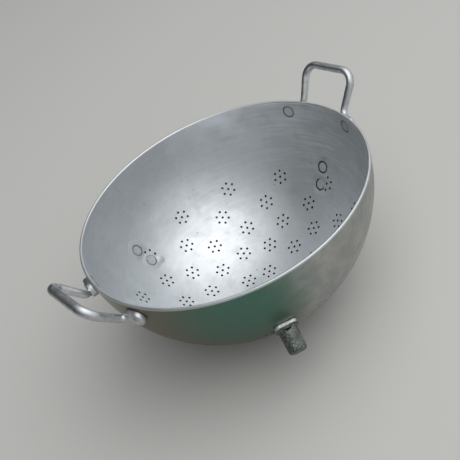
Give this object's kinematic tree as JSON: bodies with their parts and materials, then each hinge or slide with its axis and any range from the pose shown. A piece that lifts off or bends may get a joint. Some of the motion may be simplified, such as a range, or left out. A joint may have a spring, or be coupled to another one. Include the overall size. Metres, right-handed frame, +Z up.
{
  "type": "colander",
  "caption": "Hemispherical aluminium colander drained by punched flower-shaped groups of holes, with riveted loop handles rising past the rim and short riveted stub feet.",
  "frame": {"origin": "centre of the underside of the small flat at the bottom of the bowl, which is also the bottom centre of the overall box", "axes": "+Z up along the bowl's axis, out of its mouth; +X through the middle of the right-hand handle; +Y completes the right-handed set"},
  "size_m": [0.319, 0.2598, 0.1512],
  "materials": {
    "bowl_sheet": "worn satin, spun, fine concentric marks",
    "handle_bar": "worn satin, rubbed smooth",
    "foot_casting": "rough cast, pitted",
    "rivet": "hammered, dull"
  },
  "bodies": {
    "root": {"bowl": "bowl_sheet", "handle_right": "handle_bar", "handle_left": "handle_bar", "rivet_handle_right_front": "rivet", "rivet_handle_right_back": "rivet", "rivet_handle_left_front": "rivet", "rivet_handle_left_back": "rivet", "foot_a": "foot_casting", "foot_b": "foot_casting", "foot_c": "foot_casting", "rivet_foot_a_lower": "rivet", "rivet_foot_a_upper": "rivet", "rivet_foot_b_lower": "rivet", "rivet_foot_b_upper": "rivet", "rivet_foot_c_lower": "rivet", "rivet_foot_c_upper": "rivet"}
  },
  "joints": []
}
